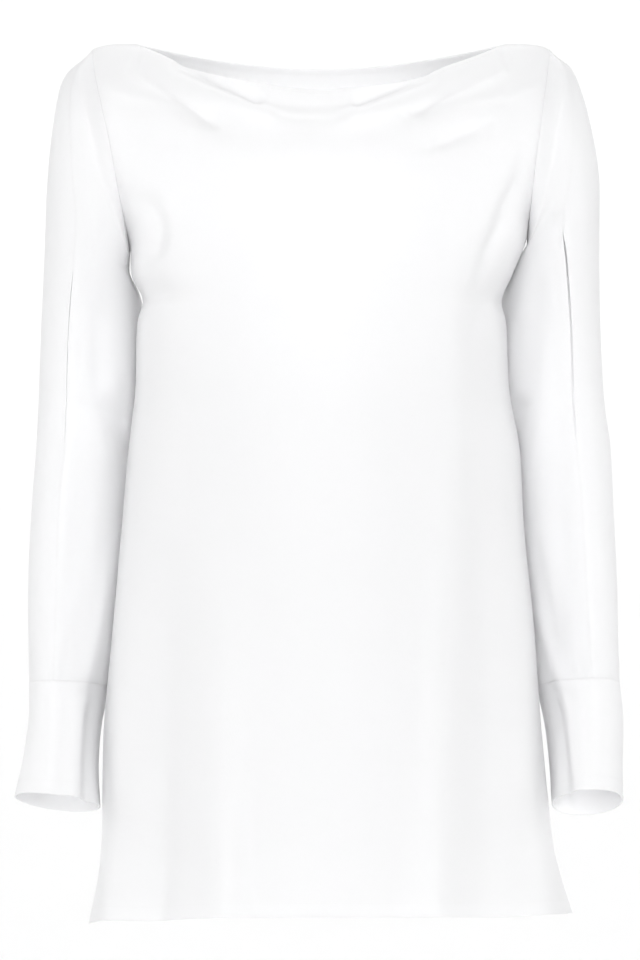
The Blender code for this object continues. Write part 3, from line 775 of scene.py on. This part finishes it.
def turned_edges(name, rows, sewing):
    """A piece's turned and sewn edges: each edge, its depth in mm and the points that it takes."""
    everywhere = np.ones(rows.shape[:2], bool)
    hem = sewing.hem_inset / MM
    edge = sewing.edge_inset / MM
    if name.startswith("cuff"):
        return [("hem", hem, everywhere)]
    if name.startswith("sleeve"):
        _, half, side = name.split("_")
        z = rows[..., 2]
        along_slit = (z < SLITS[side].top) & (z > SLIT_BOTTOM)
        return [("start" if half == "front" else "end", 0.5 * edge, along_slit)]
    u = np.abs(np.linspace(-1.0, 1.0, rows.shape[1]))[None, :]
    beside_vent = rows[..., 2] < VENT_TOP
    return [("hem", hem, everywhere), ("top", edge, everywhere & (u < NECK_SHARE)),
            ("start", edge, beside_vent), ("end", edge, beside_vent)]


def thickness_at(name, rows, cloth_settings, sewing):
    """The thickness at each point in mm, greater where an edge is turned in."""
    turned = np.full(rows.shape[:2], 1.0 if name.startswith("cuff") else 0.0)
    for edge, depth, taken in turned_edges(name, rows, sewing):
        share = smooth_step((depth + TURN_FADE - reach_from(rows, edge)) / TURN_FADE)
        turned = np.maximum(turned, share * taken)
    one, two = cloth_settings.thickness / MM, cloth_settings.hem_thickness / MM
    return one + (two - one) * turned


def new_object(name, data):
    """A new object in the scene."""
    thing = bpy.data.objects.new(name, data)
    bpy.context.scene.collection.objects.link(thing)
    return thing


def make_wall(name, rows, cloth, thickness, material):
    """Build a piece of cloth as one closed wall between its outer points and its inner ones."""
    row_count, column_count = rows.shape[:2]
    inner_rows = rows - cloth.normals * thickness[..., None]
    points = np.concatenate((rows.reshape(-1, 3), inner_rows.reshape(-1, 3))) * MM
    index = np.arange(row_count * column_count).reshape(row_count, column_count)
    if cloth.closed:
        index = np.concatenate((index, index[:, :1]), axis=1)
    inside = index + row_count * column_count
    corners = (index[:-1, :-1], index[1:, :-1], index[1:, 1:], index[:-1, 1:])
    outer_faces = np.stack(corners, axis=-1).reshape(-1, 4)
    inner_faces = outer_faces[:, ::-1] + row_count * column_count
    rims = [(index[0], inside[0]), (inside[-1], index[-1])]
    if not cloth.closed:
        rims += [(inside[:, 0], index[:, 0]), (index[:, -1], inside[:, -1])]
    rim_faces = [np.stack((a[1:], b[1:], b[:-1], a[:-1]), axis=-1) for a, b in rims]
    faces = np.concatenate((outer_faces, inner_faces, *rim_faces))
    if cloth.turned:
        faces = faces[:, ::-1]
    mesh = bpy.data.meshes.new(name)
    mesh.from_pydata(points.tolist(), [], faces.tolist())
    places = np.tile(cloth.places.reshape(-1, 2), (2, 1)) * MM
    corner_points = np.empty(len(mesh.loops), dtype=np.int32)
    mesh.loops.foreach_get("vertex_index", corner_points)
    mesh.uv_layers.new(name="cloth").data.foreach_set("uv", places[corner_points].ravel())
    mesh.materials.append(material)
    piece = new_object(name, mesh)
    bevel = piece.modifiers.new("rounded_edges", "BEVEL")
    bevel.width = EDGE_BEVEL * MM
    bevel.segments = EDGE_SEGMENTS
    bevel.limit_method = "ANGLE"
    bevel.angle_limit = SHARP_ANGLE
    make_plain(piece)
    piece.data.shade_smooth()
    piece.data.set_sharp_from_angle(angle=SHARP_ANGLE)
    return piece


def make_plain(piece):
    """Turn a piece's modifiers into a plain mesh."""
    evaluated = piece.evaluated_get(bpy.context.evaluated_depsgraph_get())
    plain = bpy.data.meshes.new_from_object(evaluated)
    piece.modifiers.clear()
    piece.data = plain


# Materials

def feed(node, inputs):
    """Give a node's inputs their values, or the sockets that they come from."""
    for key, value in inputs.items():
        if isinstance(value, bpy.types.NodeSocket):
            node.id_data.links.new(value, node.inputs[key])
        else:
            node.inputs[key].default_value = value


def add_node(tree, kind, inputs, **settings):
    """Add a node with its settings and its inputs."""
    node = tree.nodes.new(kind)
    for key, value in settings.items():
        setattr(node, key, value)
    feed(node, inputs)
    return node


def weave_group():
    """The satin's weave and its soft unevenness, from the cloth's own UV map in metres."""
    name = "satin_weave"
    if name in bpy.data.node_groups:
        return bpy.data.node_groups[name]
    tree = bpy.data.node_groups.new(name, "ShaderNodeTree")
    sockets = tree.interface
    sockets.new_socket("Thread Spacing", in_out="INPUT", socket_type="NodeSocketFloat")
    for label in ("Height", "Shade"):
        sockets.new_socket(label, in_out="OUTPUT", socket_type="NodeSocketFloat")
    entry = tree.nodes.new("NodeGroupInput").outputs
    uv = add_node(tree, "ShaderNodeUVMap", {}, uv_map="cloth").outputs["UV"]
    frequency = add_node(tree, "ShaderNodeMath", {0: 1.0, 1: entry["Thread Spacing"]},
                         operation="DIVIDE")
    scaled = add_node(tree, "ShaderNodeVectorMath", {0: uv, "Scale": frequency.outputs[0]},
                      operation="SCALE")
    # Long warp floats: noise drawn out along the cloth's length
    drawn_out = add_node(tree, "ShaderNodeMapping",
                         {"Vector": scaled.outputs[0], "Scale": (1.0, 0.16, 1.0)})
    floats = add_node(tree, "ShaderNodeTexNoise", {
        "Vector": drawn_out.outputs[0], "Scale": 1.0, "Detail": 2.0, "Roughness": 0.5})
    crepe = add_node(tree, "ShaderNodeTexNoise", {
        "Vector": uv, "Scale": 42.0, "Detail": 3.0, "Roughness": 0.55})
    uneven = add_node(tree, "ShaderNodeMath", {
        0: crepe.outputs["Fac"], 1: 0.9, 2: floats.outputs["Fac"]}, operation="MULTIPLY_ADD")
    add_node(tree, "NodeGroupOutput", {
        "Height": uneven.outputs[0], "Shade": floats.outputs["Fac"]})
    return tree


def new_material(name):
    """A new material, its node tree and its shader."""
    material = bpy.data.materials.new(name)
    material.use_nodes = True
    return material, material.node_tree, material.node_tree.nodes["Principled BSDF"]


def shaded(tree, factor, colour, darkest):
    """A colour that varies with a factor, from a darker share of itself."""
    dark = [value * darkest for value in colour]
    mix = add_node(tree, "ShaderNodeMix", {
        "Factor": factor, "A": (*dark, 1.0), "B": (*colour, 1.0)}, data_type="RGBA")
    return mix.outputs["Result"]


def satin_material(slot, settings):
    """White satin: a soft sheen over a fine weave."""
    name = f"tunic_{slot}"
    if name in bpy.data.materials:
        return bpy.data.materials[name]
    material, tree, shader = new_material(name)
    weave = add_node(tree, "ShaderNodeGroup", {"Thread Spacing": settings.thread_spacing},
                     node_tree=weave_group())
    gloss = add_node(tree, "ShaderNodeMapRange", {
        "Value": weave.outputs["Shade"],
        "To Min": settings.roughness - ROUGHNESS_SPREAD,
        "To Max": settings.roughness + ROUGHNESS_SPREAD,
    })
    bump = add_node(tree, "ShaderNodeBump", {
        "Height": weave.outputs["Height"], "Strength": 0.35, "Distance": 0.0002})
    feed(shader, {
        "Base Color": shaded(tree, weave.outputs["Shade"], settings.colour, darkest=0.97),
        "Roughness": gloss.outputs["Result"],
        "Normal": bump.outputs["Normal"],
        "Sheen Weight": settings.sheen,
        "Sheen Roughness": 0.35,
        "Specular IOR Level": 0.3,
        "Subsurface Weight": 0.4,
        "Subsurface Radius": (1.0, 1.0, 1.0),
        "Subsurface Scale": settings.light_spread,
    })
    return material


def thread_material(settings):
    """Sewing thread: fine plies, drawn as a fine noise in its colour."""
    name = "tunic_thread"
    if name in bpy.data.materials:
        return bpy.data.materials[name]
    material, tree, shader = new_material(name)
    place = add_node(tree, "ShaderNodeTexCoord", {}).outputs["Object"]
    plies = add_node(tree, "ShaderNodeTexNoise", {"Vector": place, "Scale": 2500.0, "Detail": 1.0})
    feed(shader, {
        "Base Color": shaded(tree, plies.outputs["Fac"], settings.thread_colour, darkest=0.92),
        "Roughness": 0.6,
    })
    return material


# Pieces


def make_cloth(context, node, slot):
    """Make the piece of cloth that stands for a CAD node, on the tunic's one body."""
    settings = context.scene.tunic_cloth
    cloth, rows = cut_out(node, context.scene.tunic_cut)
    thickness = thickness_at(node, rows, settings, context.scene.tunic_sewing)
    piece = make_wall(f"satin_{node}", rows, cloth, thickness, satin_material(slot, settings))
    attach(piece, "root")
    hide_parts(node)


class TUNIC_OT_make_body(bpy.types.Operator):
    """Make the front and the back, cut in one piece each"""
    bl_idname = "tunic.make_body"
    bl_label = "Make body"

    def execute(self, context):
        for panel in ("front", "back"):
            make_cloth(context, f"{panel}_panel", "satin")
        return {"FINISHED"}


class TUNIC_OT_make_sleeves(bpy.types.Operator):
    """Make the front and back halves of both sleeves, open at the overarm slits"""
    bl_idname = "tunic.make_sleeves"
    bl_label = "Make sleeves"

    def execute(self, context):
        for side in ("right", "left"):
            for half in ("front", "back"):
                make_cloth(context, f"sleeve_{half}_{side}", "satin")
        return {"FINISHED"}


class TUNIC_OT_make_cuffs(bpy.types.Operator):
    """Make both deep cuffs, of two layers of satin"""
    bl_idname = "tunic.make_cuffs"
    bl_label = "Make cuffs"

    def execute(self, context):
        for side in ("right", "left"):
            make_cloth(context, f"cuff_{side}", "cuff_satin")
        return {"FINISHED"}


# Sewing

def edge_line(rows, normals, edge, inset, taken):
    """Points on a piece's outer side in mm, at a distance from an edge, in one run."""
    axis, backwards = EDGES[edge]
    reach = reach_from(rows, edge)

    def from_edge(values):
        values = np.flip(values, axis) if backwards else values
        return np.swapaxes(values, 0, axis)

    reach, points, outwards, taken = (
        from_edge(values) for values in (reach, rows, normals, taken))
    after = np.argmax(reach >= inset, axis=0)
    place = np.arange(reach.shape[1])
    share = (inset - reach[after - 1, place]) / (reach[after, place] - reach[after - 1, place])
    share = share[:, None]
    line = points[after - 1, place] * (1.0 - share) + points[after, place] * share
    line += outwards[after, place] * STITCH_LIFT
    return line[taken[after, place]]


def stitch_tree():
    """Beads of thread at even steps along a line."""
    name = "stitches"
    if name in bpy.data.node_groups:
        return bpy.data.node_groups[name]
    tree = bpy.data.node_groups.new(name, "GeometryNodeTree")
    for label, kind in (("Line", "Geometry"), ("Pitch", "Float"), ("Stitch Length", "Float"),
                        ("Thread Width", "Float"), ("Seed", "Int"), ("Thread", "Material")):
        tree.interface.new_socket(label, in_out="INPUT", socket_type=f"NodeSocket{kind}")
    tree.interface.new_socket("Stitches", in_out="OUTPUT", socket_type="NodeSocketGeometry")
    entry = tree.nodes.new("NodeGroupInput").outputs
    curve = add_node(tree, "GeometryNodeMeshToCurve", {"Mesh": entry["Line"]})
    steps = add_node(tree, "GeometryNodeCurveToPoints", {
        "Curve": curve.outputs["Curve"], "Length": entry["Pitch"]}, mode="LENGTH")
    bead = add_node(tree, "GeometryNodeMeshUVSphere", {
        "Segments": STITCH_SEGMENTS, "Rings": STITCH_RINGS, "Radius": 0.5})
    size = add_node(tree, "ShaderNodeCombineXYZ", {
        "X": entry["Thread Width"], "Y": entry["Thread Width"], "Z": entry["Stitch Length"]})
    shaped = add_node(tree, "GeometryNodeTransform", {
        "Geometry": bead.outputs["Mesh"], "Scale": size.outputs["Vector"]})
    uneven = add_node(tree, "FunctionNodeRandomValue", {
        "Min": STITCH_SMALLEST, "Max": 1.0, "Seed": entry["Seed"]}, data_type="FLOAT")
    sewn = add_node(tree, "GeometryNodeInstanceOnPoints", {
        "Points": steps.outputs["Points"],
        "Instance": shaped.outputs["Geometry"],
        "Rotation": steps.outputs["Rotation"],
        "Scale": uneven.outputs["Value"],
    })
    real = add_node(tree, "GeometryNodeRealizeInstances", {"Geometry": sewn.outputs["Instances"]})
    smooth = add_node(tree, "GeometryNodeSetShadeSmooth", {"Geometry": real.outputs["Geometry"]})
    paint = add_node(tree, "GeometryNodeSetMaterial", {
        "Geometry": smooth.outputs["Geometry"], "Material": entry["Thread"]})
    add_node(tree, "NodeGroupOutput", {"Stitches": paint.outputs["Geometry"]})
    return tree


class TUNIC_OT_sew(bpy.types.Operator):
    """Sew the hems, the neck edge, and the edges of the vents and slits"""
    bl_idname = "tunic.sew"
    bl_label = "Sew edges"

    def execute(self, context):
        sewing = context.scene.tunic_sewing
        for node in CUTS:
            cloth, rows = cut_out(node, context.scene.tunic_cut)
            points = []
            edges = []
            for edge, depth, taken in turned_edges(node, rows, sewing):
                line = edge_line(rows, cloth.normals, edge, depth, taken)
                base = len(points)
                points += (line * MM).tolist()
                edges += [(base + k, base + k + 1) for k in range(len(line) - 1)]
                if cloth.closed:
                    edges.append((base + len(line) - 1, base))
            mesh = bpy.data.meshes.new(f"stitches_{node}")
            mesh.from_pydata(points, edges, [])
            piece = new_object(f"stitches_{node}", mesh)
            tree = stitch_tree()
            modifier = piece.modifiers.new("stitches", "NODES")
            modifier.node_group = tree
            values = {"Pitch": sewing.stitch_pitch, "Stitch Length": sewing.stitch_length,
                      "Thread Width": sewing.thread_width, "Seed": sewing.seed,
                      "Thread": thread_material(sewing)}
            for socket in tree.interface.items_tree:
                if socket.in_out == "INPUT" and socket.name in values:
                    modifier[socket.identifier] = values[socket.name]
            make_plain(piece)
            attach(piece, "root")
        return {"FINISHED"}


# The studio

def stage_mesh(settings):
    """A round floor whose edge turns up all round into a plain backdrop."""
    floor_reach = settings.stage_radius - STAGE_TURN_UP
    profile = [(floor_reach, 0.0)]
    for k in range(1, STAGE_TURN_PARTS + 1):
        angle = math.radians(90.0) * k / STAGE_TURN_PARTS
        profile.append((floor_reach + STAGE_TURN_UP * math.sin(angle),
                        STAGE_TURN_UP * (1.0 - math.cos(angle))))
    profile.append((settings.stage_radius, STAGE_WALL))
    points = [(0.0, 0.0, settings.floor_height)]
    for reach, height in profile:
        for k in range(STAGE_SIDES):
            angle = 2.0 * math.pi * k / STAGE_SIDES
            points.append((reach * math.cos(angle), reach * math.sin(angle),
                           settings.floor_height + height))
    faces = [(0, 1 + k, 1 + (k + 1) % STAGE_SIDES) for k in range(STAGE_SIDES)]
    for ring in range(len(profile) - 1):
        low = 1 + ring * STAGE_SIDES
        high = low + STAGE_SIDES
        for k in range(STAGE_SIDES):
            after = (k + 1) % STAGE_SIDES
            faces.append((low + k, high + k, high + after, low + after))
    mesh = bpy.data.meshes.new("studio")
    mesh.from_pydata(points, [], faces)
    mesh.shade_smooth()
    return mesh


def add_light(name, power, size, place, target, height=None):
    """A soft light that the camera doesn't see: a disk, or a rectangle where it has a height."""
    lamp = bpy.data.lights.new(name, "AREA")
    lamp.shape = "DISK" if height is None else "RECTANGLE"
    lamp.size = size
    if height is not None:
        lamp.size_y = height
    lamp.energy = power
    light = new_object(name, lamp)
    light.location = place
    light.rotation_euler = (Vector(target) - Vector(place)).to_track_quat("-Z", "Y").to_euler()
    light.visible_camera = False
    return light


class TUNIC_OT_set_stage(bpy.types.Operator):
    """Make the studio: floor and backdrop, soft lights and the camera"""
    bl_idname = "tunic.set_stage"
    bl_label = "Set stage"

    def execute(self, context):
        scene = context.scene
        settings = scene.tunic_stage
        middle_z = (SHOULDER_PIXEL_ROW - 0.5 * PHOTO_HEIGHT) * PIXEL_SIZE

        floor = new_object("studio", stage_mesh(settings))
        paint, _, shader = new_material("studio_paint")
        feed(shader, {"Base Color": (*settings.stage_colour, 1.0), "Roughness": 0.9})
        floor.data.materials.append(paint)

        world = bpy.data.worlds.new("room")
        world.use_nodes = True
        feed(world.node_tree.nodes["Background"],
             {"Color": (1.0, 1.0, 1.0, 1.0), "Strength": settings.room_strength})
        scene.world = world
        scene.view_settings.view_transform = "Standard"

        target = (0.0, 0.0, middle_z)
        for name, angle, power in (("side", SIDE_LIGHT_TURN, settings.side_power),
                                   ("rear", REAR_LIGHT_TURN, settings.rear_power)):
            for side, sign in SIDE_SIGN.items():
                turn = math.radians(sign * angle)
                across = SIDE_LIGHT_REACH * math.sin(turn)
                forward = SIDE_LIGHT_REACH * math.cos(turn)
                add_light(f"{name}_{side}", power, 1.6, (across, -forward, 0.3), target)
        add_light("front", settings.front_power, 1.2, (0.0, -4.4, 0.3), target)
        add_light("key", settings.key_power, 1.0, (0.0, -1.8, 1.2), target)
        add_light("backdrop", settings.backdrop_power, 3.0, (0.0, 2.5, 4.0), (0.0, 8.0, -1.0))
        # Light bounced about inside the hollow cloth
        add_light("hollow", settings.hollow_power, 0.12, (0.0, 0.0, -0.20), (0.0, 0.02, 0.0))
        for side, sign in SIDE_SIGN.items():
            add_light(f"cuff_{side}", settings.cuff_power, 0.015, (sign * 0.228, -0.032, -0.615),
                      (sign * 0.028, 0.05, -0.63), height=0.07)
            add_light(f"sleeve_{side}", settings.sleeve_power, 0.02, (sign * 0.221, 0.0, -0.40),
                      (sign * 0.021, 0.06, -0.40), height=0.36)

        camera = bpy.data.cameras.new("photo_view")
        camera.sensor_fit = "VERTICAL"
        camera.sensor_height = FILM_HEIGHT
        frame_height = PHOTO_HEIGHT * PIXEL_SIZE
        camera.lens = settings.camera_distance * FILM_HEIGHT / frame_height
        camera.clip_end = 100.0
        eye = new_object("photo_view", camera)
        eye.location = (0.0, -settings.camera_distance, middle_z)
        eye.rotation_euler = (math.radians(90.0), 0.0, 0.0)
        scene.camera = eye
        return {"FINISHED"}


class TUNIC_PT_panel(bpy.types.Panel):
    """The tunic's settings and steps"""
    bl_label = "Satin Tunic"
    bl_idname = "TUNIC_PT_panel"
    bl_space_type = "VIEW_3D"
    bl_region_type = "UI"
    bl_category = "Tunic"

    def draw(self, context):
        for title, settings in (("Cloth", "tunic_cloth"), ("Cut", "tunic_cut"),
                                ("Sewing", "tunic_sewing"), ("Stage", "tunic_stage")):
            box = self.layout.box()
            box.label(text=title)
            group = getattr(context.scene, settings)
            for name in group.__annotations__:
                box.prop(group, name)
        for operator in OPERATORS:
            self.layout.operator(operator.bl_idname)


SETTINGS = {
    "tunic_cloth": TunicClothSettings,
    "tunic_cut": TunicCutSettings,
    "tunic_sewing": TunicSewingSettings,
    "tunic_stage": TunicStageSettings,
}
OPERATORS = (TUNIC_OT_make_body, TUNIC_OT_make_sleeves, TUNIC_OT_make_cuffs, TUNIC_OT_sew,
             TUNIC_OT_set_stage)


def register():
    for group in SETTINGS.values():
        bpy.utils.register_class(group)
    for name, group in SETTINGS.items():
        setattr(bpy.types.Scene, name, bpy.props.PointerProperty(type=group))
    for operator in OPERATORS:
        bpy.utils.register_class(operator)
    bpy.utils.register_class(TUNIC_PT_panel)


def unregister():
    bpy.utils.unregister_class(TUNIC_PT_panel)
    for operator in reversed(OPERATORS):
        bpy.utils.unregister_class(operator)
    for name, group in SETTINGS.items():
        delattr(bpy.types.Scene, name)
        bpy.utils.unregister_class(group)


def main():
    register()
    bpy.ops.tunic.make_body()
    bpy.ops.tunic.make_sleeves()
    bpy.ops.tunic.make_cuffs()
    bpy.ops.tunic.sew()
    bpy.ops.tunic.set_stage()


if __name__ == "__main__":
    main()
